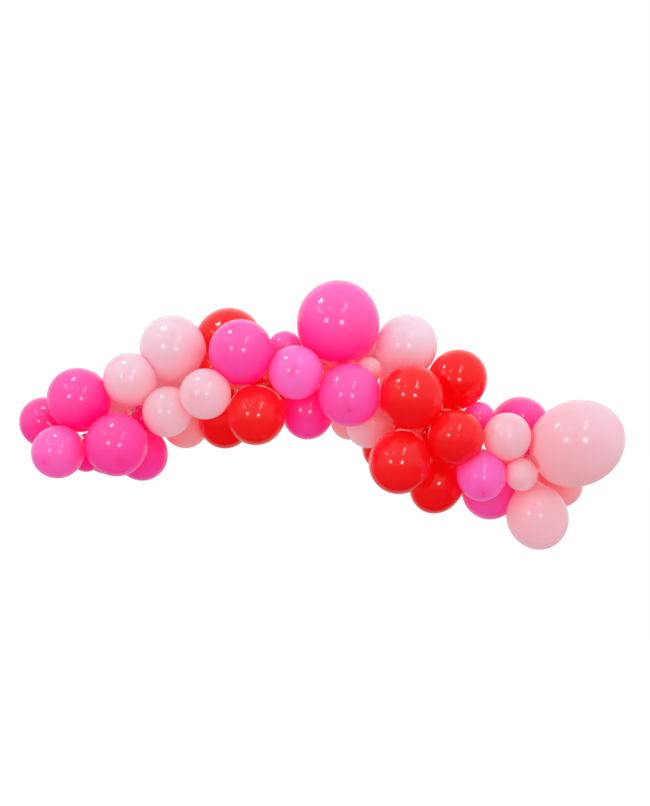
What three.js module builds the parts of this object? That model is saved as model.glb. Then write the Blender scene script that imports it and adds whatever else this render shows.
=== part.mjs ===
// Balloon garland: latex balloons in hot pink, pale pink and red, knotted into
// one clear decorating strip that runs in a low arch along the garland's length.
// Millimetres. +X runs along the garland to the right, +Z is up and +Y points back
// to the wall. The origin is the hang point, on the strip's back face.

import * as THREE from 'three';
import { mergeVertices } from 'three/addons/utils/BufferGeometryUtils.js';

// Decorating strip
const STRIP_WIDTH = 16;
const STRIP_THICKNESS = 1;
const HOLE_PITCH = 42;
const HOLE_RADIUS = 4.4;
const HOLE_SIDES = 6;
const HANG_CELL_LENGTH = 40;
const END_TAB_LENGTH = 36;
const SPINE_STEPS_PER_SPAN = 16;

// Balloon neck and knot, all measured on a tied balloon
const WAIST_RADIUS = 3.2;
const THROAT_RADIUS = 6;
const THROAT_STANDOFF = 14;
const KNOT_RADIUS = 6.5;
const KNOT_DISTANCE = 7;
const LIP_RADIUS = 8;
const LIP_DISTANCE = 20;
const LOOSE_NECK_LENGTH = 30;
const LOOSE_TUCK = 60;

// Balloon body
const BODY_STRETCH = 1.05;
const SHOULDER_ANGLE = 40;
const TAPER_START_PULL = 0.42;
const TAPER_END_PULL = 0.42;

// Room between neighbours
const TOUCH_GAP = 0.4;
const STRIP_ROOM = 29;
const NEIGHBOUR_REACH = 1.05;
const PRESSING_TAPER_SHARES = [0.6, 0.75, 0.9, 1];

// Facets
const SMALL_BALLOON_WIDTH = 160;
const LARGE_BALLOON_WIDTH = 240;
const SMALL_BODY_SIDES = 8;
const MEDIUM_BODY_SIDES = 10;
const LARGE_BODY_SIDES = 12;
const NECK_SIDES = 6;
const BODY_RING_ANGLES = [27, 54, 82, 110];
const TAPER_RING_SHARE = 0.55;
const STEEPEST_AXIS_RISE = 0.9;
const SAME_CORNER = 1e-3;

// The strip's route, from the left end to the right end: x and z of each bend
const SPINE_POINTS = [
  [-1142, -294], [-1004, -260], [-848, -193], [-735, -118], [-622, -71], [-512, -42],
  [-412, -67], [-286, -55], [-109, -2], [0, 0], [105, -13], [239, -50],
  [357, -143], [487, -235], [643, -315], [781, -344], [924, -395],
];

const HOT = 'hot_pink';
const PALE = 'pale_pink';
const RED = 'red';
const STRIP = { tied: true };
const LOOSE = { tied: false };

// Every balloon from left to right: colour, width across the body, centre (x, y, z),
// how it is held, and how much longer than wide it is where that isn't the usual stretch
const BALLOONS = [
  [HOT, 214, [-1178, 115, -201], STRIP],
  [HOT, 216, [-1074, -140, -318], STRIP],
  [HOT, 260, [-1000, -70, -106], STRIP],
  [HOT, 128, [-991, 50, -343], STRIP],
  [HOT, 190, [-921, 150, -327], STRIP],
  [PALE, 224, [-850, 130, -103], STRIP],
  [HOT, 256, [-831, -160, -288], STRIP],
  [PALE, 218, [-786, -90, -22], STRIP],
  [HOT, 222, [-757, 50, -332], STRIP],
  [HOT, 124, [-743, 65, -189], STRIP],
  [PALE, 206, [-675, 140, -39], STRIP],
  [PALE, 206, [-628, -115, -154], STRIP],
  [PALE, 274, [-615, -20, 106], STRIP],
  [PALE, 200, [-576, 110, -208], STRIP],
  [PALE, 208, [-466, -185, -81], STRIP],
  [RED, 143, [-437, -12, 29], STRIP],
  [RED, 224, [-400, 50, -194], STRIP],
  [RED, 292, [-393, 120, 138], LOOSE],
  [PALE, 136, [-346, 110, -51], STRIP],
  [HOT, 264, [-323, -140, 90], STRIP],
  [RED, 242, [-263, -115, -167], STRIP],
  [RED, 188, [-215, 130, -56], STRIP],
  [HOT, 148, [-147, 40, 110], STRIP],
  [HOT, 222, [-99, -155, 7], STRIP],
  [HOT, 214, [-52, 0, -159], STRIP],
  [PALE, 154, [9, 105, 26], STRIP],
  [HOT, 346, [76, -30, 213], STRIP],
  [HOT, 258, [121, -150, -86], STRIP],
  [PALE, 172, [129, 150, -187], LOOSE],
  [PALE, 108, [204, -60, 17], STRIP],
  [PALE, 204, [213, 20, -204], STRIP],
  [PALE, 160, [220, 140, 66], LOOSE],
  [RED, 211, [288, 150, -306], LOOSE],
  [RED, 256, [331, -130, -359], STRIP, 1.08],
  [PALE, 258, [363, 20, 120], STRIP],
  [RED, 268, [374, -160, -94], STRIP],
  [RED, 258, [490, 145, -250], STRIP],
  [RED, 226, [494, 30, -458], LOOSE, 1.15],
  [RED, 230, [556, -150, -259], STRIP],
  [RED, 248, [576, 0, -21], LOOSE],
  [HOT, 204, [664, -130, -413], STRIP, 1.14],
  [HOT, 134, [663, -20, -182], LOOSE],
  [HOT, 244, [722, 60, -484], LOOSE],
  [PALE, 198, [769, -130, -258], STRIP],
  [PALE, 150, [852, 178, -370], LOOSE],
  [PALE, 134, [828, -130, -412], LOOSE],
  [HOT, 256, [851, 100, -223], STRIP],
  [PALE, 256, [907, -40, -591], STRIP, 1.09],
  [PALE, 196, [1022, 110, -464], LOOSE],
  [PALE, 352, [1055, -120, -285], STRIP, 1.16],
];

const FINISHES = {
  [HOT]: new THREE.MeshStandardMaterial({ color: 0xf2479a, roughness: 0.22, metalness: 0 }),
  [PALE]: new THREE.MeshStandardMaterial({ color: 0xf0c3cf, roughness: 0.28, metalness: 0 }),
  [RED]: new THREE.MeshStandardMaterial({ color: 0xee1a24, roughness: 0.15, metalness: 0 }),
};
const STRIP_FINISH = new THREE.MeshStandardMaterial({
  color: 0xf3f6f7,
  roughness: 0.2,
  metalness: 0,
  transparent: true,
  opacity: 0.5,
});

const STRIP_MIDDLE_Y = -STRIP_THICKNESS / 2;
const RADIANS = Math.PI / 180;

// The strip's route

function traceSpine() {
  const bends = SPINE_POINTS.map(([x, z]) => new THREE.Vector2(x, z));
  const curve = new THREE.SplineCurve(bends);
  const steps = (bends.length - 1) * SPINE_STEPS_PER_SPAN;
  const points = [];
  const arc = [0];
  for (let i = 0; i <= steps; i += 1) {
    points.push(curve.getPoint(i / steps));
  }
  for (let i = 1; i <= steps; i += 1) {
    arc.push(arc[i - 1] + points[i].distanceTo(points[i - 1]));
  }
  return { points, arc, length: arc[steps] };
}

function pointAlong(spine, distance) {
  let i = 1;
  while (i < spine.arc.length - 1 && spine.arc[i] < distance) {
    i += 1;
  }
  const share = (distance - spine.arc[i - 1]) / (spine.arc[i] - spine.arc[i - 1]);
  return spine.points[i - 1].clone().lerp(spine.points[i], share);
}

function sidewaysAlong(spine, distance) {
  const reach = STRIP_WIDTH / 2;
  const before = pointAlong(spine, Math.max(0, distance - reach));
  const after = pointAlong(spine, Math.min(spine.length, distance + reach));
  const along = after.sub(before).normalize();
  return new THREE.Vector2(-along.y, along.x);
}

function nearestAlong(spine, x, z) {
  const target = new THREE.Vector2(x, z);
  let best = 0;
  spine.points.forEach((point, i) => {
    if (point.distanceTo(target) < spine.points[best].distanceTo(target)) {
      best = i;
    }
  });
  return spine.arc[best];
}

// Holes run outward from the hang point, one pitch apart, and a plain tab ends each side
function layOutCells(spine) {
  const hang = nearestAlong(spine, 0, 0);
  const room = END_TAB_LENGTH + HANG_CELL_LENGTH / 2;
  const leftCount = Math.floor((hang - room) / HOLE_PITCH);
  const rightCount = Math.floor((spine.length - hang - room) / HOLE_PITCH);
  const edges = [hang - HANG_CELL_LENGTH / 2 - leftCount * HOLE_PITCH - END_TAB_LENGTH];
  const holes = [];
  for (let i = leftCount; i >= 0; i -= 1) {
    edges.push(hang - HANG_CELL_LENGTH / 2 - i * HOLE_PITCH);
  }
  for (let i = 0; i <= rightCount; i += 1) {
    edges.push(hang + HANG_CELL_LENGTH / 2 + i * HOLE_PITCH);
  }
  edges.push(edges[edges.length - 1] + END_TAB_LENGTH);
  for (let i = 1; i < edges.length - 2; i += 1) {
    if (i !== leftCount + 1) {
      holes.push({ cell: i, distance: (edges[i] + edges[i + 1]) / 2 });
    }
  }
  return { edges, holes };
}

// Decorating strip

function stripGeometry(spine, cells) {
  const corners = [];
  const triangles = [];
  const lift = (p, y) => new THREE.Vector3(p.x, y, p.y);
  const wall = (a, b) => {
    triangles.push([lift(a, -STRIP_THICKNESS), lift(b, 0), lift(b, -STRIP_THICKNESS)]);
    triangles.push([lift(a, -STRIP_THICKNESS), lift(a, 0), lift(b, 0)]);
  };
  cells.edges.forEach((distance) => {
    const middle = pointAlong(spine, distance);
    const side = sidewaysAlong(spine, distance).multiplyScalar(STRIP_WIDTH / 2);
    corners.push({ upper: middle.clone().add(side), lower: middle.clone().sub(side) });
  });
  for (let i = 0; i < corners.length - 1; i += 1) {
    const outline = [corners[i].lower, corners[i + 1].lower, corners[i + 1].upper, corners[i].upper];
    const hole = cells.holes.find((entry) => entry.cell === i);
    const rims = [];
    if (hole) {
      const centre = pointAlong(spine, hole.distance);
      const side = sidewaysAlong(spine, hole.distance);
      const rim = [];
      for (let k = 0; k < HOLE_SIDES; k += 1) {
        const turn = (-2 * Math.PI * k) / HOLE_SIDES;
        const along = HOLE_RADIUS * Math.cos(turn);
        const across = HOLE_RADIUS * Math.sin(turn);
        rim.push(new THREE.Vector2(
          centre.x + along * side.y + across * side.x,
          centre.y - along * side.x + across * side.y,
        ));
      }
      rims.push(rim);
      rim.forEach((point, k) => wall(point, rim[(k + 1) % HOLE_SIDES]));
    }
    const flat = [...outline, ...rims.flat()];
    THREE.ShapeUtils.triangulateShape(outline, rims).forEach(([a, b, c]) => {
      triangles.push([flat[a], flat[b], flat[c]].map((p) => lift(p, -STRIP_THICKNESS)));
      triangles.push([flat[c], flat[b], flat[a]].map((p) => lift(p, 0)));
    });
    wall(corners[i].lower, corners[i + 1].lower);
    wall(corners[i + 1].upper, corners[i].upper);
  }
  const last = corners[corners.length - 1];
  wall(corners[0].upper, corners[0].lower);
  wall(last.lower, last.upper);
  return solidOf(triangles);
}

function solidOf(triangles) {
  const geometry = new THREE.BufferGeometry();
  const numbers = triangles.flatMap((corners) => corners.flatMap((corner) => corner.toArray()));
  geometry.setAttribute('position', new THREE.Float32BufferAttribute(numbers, 3));
  const merged = mergeVertices(geometry, SAME_CORNER);
  merged.computeVertexNormals();
  return merged;
}

// Where each balloon's neck goes

function readBalloons() {
  const counts = {};
  return BALLOONS.map(([colour, width, [x, y, z], held, stretch = BODY_STRETCH]) => {
    counts[colour] = (counts[colour] ?? 0) + 1;
    return {
      name: `${colour}_balloon_${String(counts[colour]).padStart(2, '0')}`,
      colour,
      radius: width / 2,
      stretch,
      tied: held.tied,
      centre: new THREE.Vector3(x, y, z),
      side: y > 0 ? 1 : -1,
    };
  });
}

// Tied balloons take the holes in their order along the strip, each as near its foot as it can
function chooseHoles(spine, cells, balloons) {
  const tied = balloons.filter((balloon) => balloon.tied);
  tied.forEach((balloon) => {
    balloon.foot = nearestAlong(spine, balloon.centre.x, balloon.centre.z);
  });
  tied.sort((a, b) => a.foot - b.foot);
  const nearest = (foot) => {
    let best = 0;
    cells.holes.forEach((hole, i) => {
      if (Math.abs(hole.distance - foot) < Math.abs(cells.holes[best].distance - foot)) {
        best = i;
      }
    });
    return best;
  };
  const chosen = [];
  tied.forEach((balloon, i) => {
    chosen.push(Math.max(nearest(balloon.foot), i > 0 ? chosen[i - 1] + 1 : 0));
  });
  for (let i = tied.length - 1, limit = cells.holes.length - 1; i >= 0; i -= 1) {
    chosen[i] = Math.min(chosen[i], limit);
    limit = chosen[i] - 1;
  }
  tied.forEach((balloon, i) => {
    const place = pointAlong(spine, cells.holes[chosen[i]].distance);
    balloon.hole = new THREE.Vector3(place.x, STRIP_MIDDLE_Y, place.y);
  });
}

// A tied neck bends square through its hole; a loose one runs straight, tucked in beside the strip
function aimNeck(spine, balloon) {
  const away = new THREE.Vector3(0, balloon.side, 0);
  if (balloon.tied) {
    balloon.throat = balloon.hole.clone().addScaledVector(away, THROAT_STANDOFF);
    balloon.axis = balloon.throat.clone().sub(balloon.centre);
    balloon.throatDistance = balloon.axis.length();
    balloon.axis.normalize();
    balloon.tail = away.clone().negate();
    balloon.waist = balloon.hole;
  } else {
    const foot = pointAlong(spine, nearestAlong(spine, balloon.centre.x, balloon.centre.z));
    const tuck = new THREE.Vector3(foot.x, STRIP_MIDDLE_Y, foot.y).addScaledVector(away, LOOSE_TUCK);
    balloon.axis = tuck.sub(balloon.centre).normalize();
    balloon.throatDistance = balloon.radius * balloon.stretch + LOOSE_NECK_LENGTH;
    balloon.throat = balloon.centre.clone().addScaledVector(balloon.axis, balloon.throatDistance);
    balloon.tail = balloon.axis.clone();
    balloon.waist = balloon.throat.clone().addScaledVector(balloon.axis, THROAT_STANDOFF);
  }
  const shoulder = SHOULDER_ANGLE * RADIANS;
  const start = new THREE.Vector2(
    balloon.radius * balloon.stretch * Math.cos(shoulder),
    balloon.radius * Math.sin(shoulder),
  );
  const end = new THREE.Vector2(balloon.throatDistance, THROAT_RADIUS);
  const slope = new THREE.Vector2(balloon.stretch * Math.sin(shoulder), -Math.cos(shoulder)).normalize();
  const run = end.x - start.x;
  balloon.taper = new THREE.CubicBezierCurve(
    start,
    start.clone().addScaledVector(slope, run * TAPER_START_PULL),
    new THREE.Vector2(end.x - run * TAPER_END_PULL, end.y),
    end,
  );
}

// What presses on each balloon

function flatAgainst(balloon, point, standoff) {
  const normal = point.clone().sub(balloon.centre);
  const distance = normal.length() - standoff;
  return { normal: normal.normalize(), distance };
}

// Two bodies that meet share one flat between them
function flatsFromNeighbours(balloon, balloons) {
  const flats = [];
  balloons.filter((other) => other !== balloon).forEach((other) => {
    const apart = other.centre.clone().sub(balloon.centre);
    const distance = apart.length();
    const reach = balloon.radius * balloon.stretch + other.radius * other.stretch;
    if (distance < reach * NEIGHBOUR_REACH) {
      const share = (distance ** 2 + balloon.radius ** 2 - other.radius ** 2) / (2 * distance);
      flats.push({ normal: apart.normalize(), distance: share - TOUCH_GAP / 2 });
    }
    PRESSING_TAPER_SHARES.forEach((along) => {
      const place = other.taper.getPoint(along);
      const point = other.centre.clone().addScaledVector(other.axis, place.x);
      flats.push(flatAgainst(balloon, point, place.y + TOUCH_GAP));
    });
    const knot = other.waist.clone().addScaledVector(other.tail, LIP_DISTANCE);
    flats.push(flatAgainst(balloon, knot, LIP_RADIUS + TOUCH_GAP));
  });
  return flats;
}

function flatFromStrip(balloon, spine) {
  const foot = pointAlong(spine, nearestAlong(spine, balloon.centre.x, balloon.centre.z));
  return flatAgainst(balloon, new THREE.Vector3(foot.x, STRIP_MIDDLE_Y, foot.y), STRIP_ROOM);
}

function pressIn(point, balloon, flats) {
  const arm = point.clone().sub(balloon.centre);
  let share = 1;
  flats.forEach(({ normal, distance }) => {
    const height = arm.dot(normal);
    if (height > distance) {
      share = Math.min(share, distance / height);
    }
  });
  return balloon.centre.clone().addScaledVector(arm, share);
}

// Balloon

function ringAt(centre, normal, radius, sides, side) {
  const across = side.clone().addScaledVector(normal, -side.dot(normal)).normalize();
  const up = normal.clone().cross(across);
  const ring = [];
  for (let k = 0; k < sides; k += 1) {
    const turn = (2 * Math.PI * k) / sides;
    ring.push(centre.clone()
      .addScaledVector(across, radius * Math.cos(turn))
      .addScaledVector(up, radius * Math.sin(turn)));
  }
  return ring;
}

// Two rings of any number of points, joined in order of their turn about the axis
function joinRings(lower, upper, triangles) {
  let i = 0;
  let j = 0;
  while (i < lower.length || j < upper.length) {
    const a = lower[i % lower.length];
    const b = upper[j % upper.length];
    if (j >= upper.length || (i < lower.length && (i + 1) / lower.length <= (j + 1) / upper.length)) {
      i += 1;
      triangles.push([a, lower[i % lower.length], b]);
    } else {
      j += 1;
      triangles.push([a, upper[j % upper.length], b]);
    }
  }
}

function bodySides(balloon) {
  if (balloon.radius * 2 < SMALL_BALLOON_WIDTH) {
    return SMALL_BODY_SIDES;
  }
  return balloon.radius * 2 < LARGE_BALLOON_WIDTH ? MEDIUM_BODY_SIDES : LARGE_BODY_SIDES;
}

function balloonGeometry(balloon, balloons, spine) {
  const { centre, axis, radius, stretch } = balloon;
  const sides = bodySides(balloon);
  // Facets cut inside the round body, so their corners stand a little proud of it
  const proud = 2 / (1 + Math.cos(Math.PI / sides));
  const reference = new THREE.Vector3(1, 0, 0);
  if (Math.abs(axis.z) < STEEPEST_AXIS_RISE) {
    reference.set(0, 0, 1);
  }
  const across = reference.addScaledVector(axis, -reference.dot(axis)).normalize();
  const neighbours = flatsFromNeighbours(balloon, balloons);
  const flats = [...neighbours, flatFromStrip(balloon, spine)];
  const rings = [...BODY_RING_ANGLES, 180 - SHOULDER_ANGLE].map((angle) => {
    const along = -radius * stretch * Math.cos(angle * RADIANS) * proud;
    const middle = centre.clone().addScaledVector(axis, along);
    const ring = ringAt(middle, axis, radius * Math.sin(angle * RADIANS) * proud, sides, across);
    return ring.map((point) => pressIn(point, balloon, flats));
  });
  const taperPlace = balloon.taper.getPoint(TAPER_RING_SHARE);
  const taperMiddle = centre.clone().addScaledVector(axis, taperPlace.x);
  const taperRing = ringAt(taperMiddle, axis, taperPlace.y, NECK_SIDES, across);
  rings.push(taperRing.map((point) => pressIn(point, balloon, neighbours)));
  const bend = axis.clone().add(balloon.tail).normalize();
  rings.push(ringAt(balloon.throat, bend, THROAT_RADIUS, NECK_SIDES, across));
  const tailSide = rings[rings.length - 1][0].clone().sub(balloon.throat);
  const alongTail = (distance) => balloon.waist.clone().addScaledVector(balloon.tail, distance);
  rings.push(ringAt(alongTail(0), balloon.tail, WAIST_RADIUS, NECK_SIDES, tailSide));
  rings.push(ringAt(alongTail(KNOT_DISTANCE), balloon.tail, KNOT_RADIUS, NECK_SIDES, tailSide));
  rings.push(ringAt(alongTail(LIP_DISTANCE), balloon.tail, LIP_RADIUS, NECK_SIDES, tailSide));
  const triangles = [];
  const crown = pressIn(centre.clone().addScaledVector(axis, -radius * stretch), balloon, flats);
  rings[0].forEach((point, k) => triangles.push([crown, rings[0][(k + 1) % sides], point]));
  for (let i = 0; i < rings.length - 1; i += 1) {
    joinRings(rings[i], rings[i + 1], triangles);
  }
  const lip = rings[rings.length - 1];
  for (let k = 1; k < NECK_SIDES - 1; k += 1) {
    triangles.push([lip[0], lip[k], lip[k + 1]]);
  }
  return solidOf(triangles);
}

// The garland

const spine = traceSpine();
const cells = layOutCells(spine);
const balloons = readBalloons();
chooseHoles(spine, cells, balloons);
balloons.forEach((balloon) => aimNeck(spine, balloon));

const garland = new THREE.Group();
const strip = new THREE.Mesh(stripGeometry(spine, cells), STRIP_FINISH);
strip.name = 'decorating_strip';
garland.add(strip);
balloons.forEach((balloon) => {
  const mesh = new THREE.Mesh(balloonGeometry(balloon, balloons, spine), FINISHES[balloon.colour].clone());
  mesh.name = balloon.name;
  garland.add(mesh);
});

export default garland;
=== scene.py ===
import logging
import math
from dataclasses import dataclass, field
from enum import Enum

import bpy
import numpy as np
from bpy.types import Material, Node, NodeSocket, NodeTree, Object, World
from mathutils import Matrix


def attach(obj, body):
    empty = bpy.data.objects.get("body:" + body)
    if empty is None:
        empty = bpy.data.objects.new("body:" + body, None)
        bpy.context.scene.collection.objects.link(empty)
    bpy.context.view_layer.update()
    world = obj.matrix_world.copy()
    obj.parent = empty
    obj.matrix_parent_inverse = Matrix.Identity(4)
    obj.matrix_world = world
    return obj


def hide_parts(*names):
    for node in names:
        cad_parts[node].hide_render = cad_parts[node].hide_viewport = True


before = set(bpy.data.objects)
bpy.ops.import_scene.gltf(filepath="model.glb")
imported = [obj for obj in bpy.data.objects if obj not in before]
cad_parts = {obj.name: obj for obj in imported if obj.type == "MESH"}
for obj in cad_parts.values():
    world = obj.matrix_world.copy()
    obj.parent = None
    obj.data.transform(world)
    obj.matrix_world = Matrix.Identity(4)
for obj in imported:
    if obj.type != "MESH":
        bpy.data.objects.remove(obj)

# Balloon garland: latex balloons in hot pink, pale pink and red, knotted into one clear
# decorating strip. Metres. +X runs along the garland to the right, +Z is up and +Y points
# back to the wall. The origin is the hang point, on the strip's back face.

Array = np.ndarray
MM = 0.001
BODY = "root"
LOG = logging.getLogger("garland")

# How much of a direction may lie along one axis before another one has to serve as reference
STEEP = 0.9

BLACK = (0.0, 0.0, 0.0)
WHITE = (1.0, 1.0, 1.0, 1.0)

# The strip's route in millimetres, from the left end to the right end: x and z of each bend
SPINE_POINTS = (
    (-1142, -294), (-1004, -260), (-848, -193), (-735, -118), (-622, -71), (-512, -42),
    (-412, -67), (-286, -55), (-109, -2), (0, 0), (105, -13), (239, -50),
    (357, -143), (487, -235), (643, -315), (781, -344), (924, -395),
)


class Colour(Enum):
    """The three latex colours."""

    HOT = "hot_pink"
    PALE = "pale_pink"
    RED = "red"


class Hold(Enum):
    """How a balloon is held in the garland."""

    TIED = "neck knotted through a hole of the strip"
    LOOSE = "neck tucked in beside the strip"


HOT, PALE, RED = Colour
TIED, LOOSE = Hold


# Every balloon from left to right: colour, width across the body and centre in
# millimetres, how much lighter it is than its colour's usual finish (partly its own tone,
# partly painted light and shade for where it hangs among the others), and, where these
# aren't as usual, how it is held and how much longer than wide it is
BALLOONS = (
    (HOT, 214, (-1178, 115, -201), 0.38),
    (HOT, 216, (-1074, -140, -318), 0.66),
    (HOT, 260, (-1000, -70, -106), 0.33),
    (HOT, 128, (-991, 50, -343), 0.25),
    (HOT, 190, (-921, 150, -327), 0.25),
    (PALE, 224, (-850, 130, -103), 0.80),
    (HOT, 256, (-831, -160, -288), 0.28),
    (PALE, 218, (-786, -90, -22), 0.66),
    (HOT, 222, (-757, 50, -332), 0.32),
    (HOT, 124, (-743, 65, -189), 0.25),
    (PALE, 206, (-675, 140, -39), 0.80),
    (PALE, 206, (-628, -115, -154), 0.56),
    (PALE, 274, (-615, -20, 106), 0.72),
    (PALE, 200, (-576, 110, -208), 0.34),
    (PALE, 208, (-466, -185, -81), 0.56),
    (RED, 143, (-437, -12, 29), 0.35),
    (RED, 224, (-400, 50, -194), 0.35),
    (RED, 292, (-393, 120, 138), 0.40, LOOSE),
    (PALE, 136, (-346, 110, -51), 0.35),
    (HOT, 264, (-323, -140, 90), 0.44),
    (RED, 242, (-263, -115, -167), 0.45),
    (RED, 188, (-215, 130, -56), 0.35),
    (HOT, 148, (-147, 40, 110), 0.78),
    (HOT, 222, (-99, -155, 7), 0.84),
    (HOT, 214, (-52, 0, -159), 0.33),
    (PALE, 154, (9, 105, 26), 0.45),
    (HOT, 346, (76, -30, 213), 0.54),
    (HOT, 258, (121, -150, -86), 0.45),
    (PALE, 172, (129, 150, -187), 0.36, LOOSE),
    (PALE, 108, (204, -60, 17), 0.45),
    (PALE, 204, (213, 20, -204), 0.55),
    (PALE, 160, (220, 140, 66), 0.60, LOOSE),
    (RED, 211, (288, 150, -306), 0.60, LOOSE),
    (RED, 256, (331, -130, -359), 0.45, TIED, 1.08),
    (PALE, 258, (363, 20, 120), 0.78),
    (RED, 268, (374, -160, -94), 0.40),
    (RED, 258, (490, 145, -250), 0.35),
    (RED, 226, (494, 30, -458), 0.35, LOOSE, 1.15),
    (RED, 230, (556, -150, -259), 0.40),
    (RED, 248, (576, 0, -21), 0.35, LOOSE),
    (HOT, 204, (664, -130, -413), 0.66, TIED, 1.14),
    (HOT, 134, (663, -20, -182), 0.54, LOOSE),
    (HOT, 244, (722, 60, -484), 0.48, LOOSE),
    (PALE, 198, (769, -130, -258), 0.54),
    (PALE, 150, (852, 178, -370), 0.25, LOOSE),
    (PALE, 134, (828, -130, -412), 0.48, LOOSE),
    (HOT, 256, (851, 100, -223), 0.35),
    (PALE, 256, (907, -40, -591), 0.58, TIED, 1.09),
    (PALE, 196, (1022, 110, -464), 0.32, LOOSE),
    (PALE, 352, (1055, -120, -285), 0.58, TIED, 1.16),
)


def unit(vector: Array) -> Array:
    """Scales a vector, or each row of an array, to length one."""
    return vector / np.linalg.norm(vector, axis=-1, keepdims=True)


def smooth_step(value: Array, low: float, high: float) -> Array:
    """Rises smoothly from 0 where the value is low to 1 where it is high."""
    share = np.clip((value - low) / (high - low), 0.0, 1.0)
    return share * share * (3.0 - 2.0 * share)


def cubic(points: tuple[Array, ...], share: Array) -> tuple[Array, Array]:
    """Follows a cubic curve given by its four control points.

    Args:
        points: The four control points.
        share: How far along, 0 to 1, one number for each wanted point.

    Returns:
        The points on the curve, and the directions there.
    """
    a, b, c, d = (np.asarray(point, float) for point in points)
    t = np.asarray(share, float)[:, None]
    place = a * (1 - t) ** 3 + 3 * b * t * (1 - t) ** 2 + 3 * c * t**2 * (1 - t) + d * t**3
    slope = 3 * (b - a) * (1 - t) ** 2 + 6 * (c - b) * t * (1 - t) + 3 * (d - c) * t**2
    return place, slope


def make_object(name: str, points: Array, faces: list[tuple[int, ...]]) -> Object:
    """Makes a smooth-shaded mesh object and links it to the scene.

    Args:
        name: The object's name.
        points: Its corners, in metres, in the garland's frame.
        faces: Corner numbers of each face, seen from outside anticlockwise.

    Returns:
        The new object, at the origin.
    """
    mesh = bpy.data.meshes.new(name)
    mesh.from_pydata([tuple(point) for point in points.tolist()], [], faces)
    mesh.polygons.foreach_set("use_smooth", [True] * len(mesh.polygons))
    mesh.update()
    piece = bpy.data.objects.new(name, mesh)
    bpy.context.scene.collection.objects.link(piece)
    return piece


def write_attribute(piece: Object, name: str, values: Array) -> None:
    """Stores one number or one colour for each corner, for the material to read.

    Args:
        piece: The mesh object.
        name: The attribute's name.
        values: One number, or red, green and blue, for each corner.
    """
    kind, key = "FLOAT", "value"
    if values.ndim > 1:
        kind, key = "FLOAT_COLOR", "color"
        values = np.column_stack((values, np.ones(len(values))))
    attribute = piece.data.attributes.new(name, kind, "POINT")
    attribute.data.foreach_set(key, np.asarray(values.ravel(), np.float32))


def fill(tree: NodeTree, node: Node, **inputs: object) -> Node:
    """Fills a node's inputs, each named with underscores for spaces.

    Args:
        tree: The nodes that it belongs to.
        node: The node.
        **inputs: For each input a socket to join to it, or a constant.

    Returns:
        The node.
    """
    for name, value in inputs.items():
        socket = node.inputs[name.replace("_", " ")]
        if isinstance(value, NodeSocket):
            tree.links.new(value, socket)
        else:
            socket.default_value = value
    return node


def add_node(tree: NodeTree, kind: str, **inputs: object) -> Node:
    """Adds a node and fills its inputs, as fill does."""
    return fill(tree, tree.nodes.new(kind), **inputs)


class Board:
    """A material's node tree, with short calls that add nodes and join them."""

    def __init__(self, name: str) -> None:
        """Makes the material with a Principled shader and nothing else.

        Args:
            name: The material's name.
        """
        self.material = bpy.data.materials.new(name)
        self.material.use_nodes = True
        self.tree = self.material.node_tree
        self.tree.nodes.clear()
        self.shader = add_node(self.tree, "ShaderNodeBsdfPrincipled")
        add_node(self.tree, "ShaderNodeOutputMaterial", Surface=self.shader.outputs["BSDF"])

    def dress(self, **inputs: object) -> None:
        """Fills the shader's own sockets, as fill does."""
        fill(self.tree, self.shader, **inputs)

    def attribute(self, name: str, output: str = "Fac") -> NodeSocket:
        """Reads what is stored on the mesh.

        Args:
            name: The attribute's name.
            output: Fac for a number, or Color for a colour.

        Returns:
            The stored number or colour.
        """
        node = add_node(self.tree, "ShaderNodeAttribute")
        node.attribute_name = name
        return node.outputs[output]

    def noise(self, scale: float, detail: float = 2.0) -> NodeSocket:
        """Adds cloudy noise in the piece's own coordinates.

        Args:
            scale: How many clouds to a metre.
            detail: How many finer layers it has.

        Returns:
            The noise's value.
        """
        place = add_node(self.tree, "ShaderNodeTexCoord").outputs["Object"]
        node = add_node(self.tree, "ShaderNodeTexNoise", Scale=scale, Detail=detail, Vector=place)
        return node.outputs["Fac"]

    def ranged(self, source: NodeSocket, low: float, high: float,
               start: float = 0.3, end: float = 0.7) -> NodeSocket:
        """Maps a number between start and end to one between low and high.

        Args:
            source: The number to map.
            low, high: What start and end become.
            start, end: The ends of the source's range.

        Returns:
            The mapped number.
        """
        node = add_node(
            self.tree, "ShaderNodeMapRange",
            From_Min=start, From_Max=end, To_Min=low, To_Max=high, Value=source,
        )
        return node.outputs["Result"]

    def blend(self, factor: NodeSocket, first: object, second: object) -> NodeSocket:
        """Mixes two colours.

        Args:
            factor: 0 gives the first and 1 the second.
            first, second: Colours or sockets.

        Returns:
            The mixed colour.
        """
        node = add_node(self.tree, "ShaderNodeMix")
        node.data_type = "RGBA"
        self.tree.links.new(factor, node.inputs[0])
        for socket, value in ((node.inputs[6], first), (node.inputs[7], second)):
            if isinstance(value, NodeSocket):
                self.tree.links.new(value, socket)
            else:
                socket.default_value = (*value, 1.0)
        return node.outputs[2]

    def bump(self, height: NodeSocket, strength: float, distance: float) -> None:
        """Raises the surface by a height that the shader sees.

        Args:
            height: The height's pattern.
            strength: How much of it shows.
            distance: The height of a full step, in metres.
        """
        node = add_node(
            self.tree, "ShaderNodeBump", Strength=strength, Distance=distance, Height=height)
        self.dress(Normal=node.outputs["Normal"])


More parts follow.
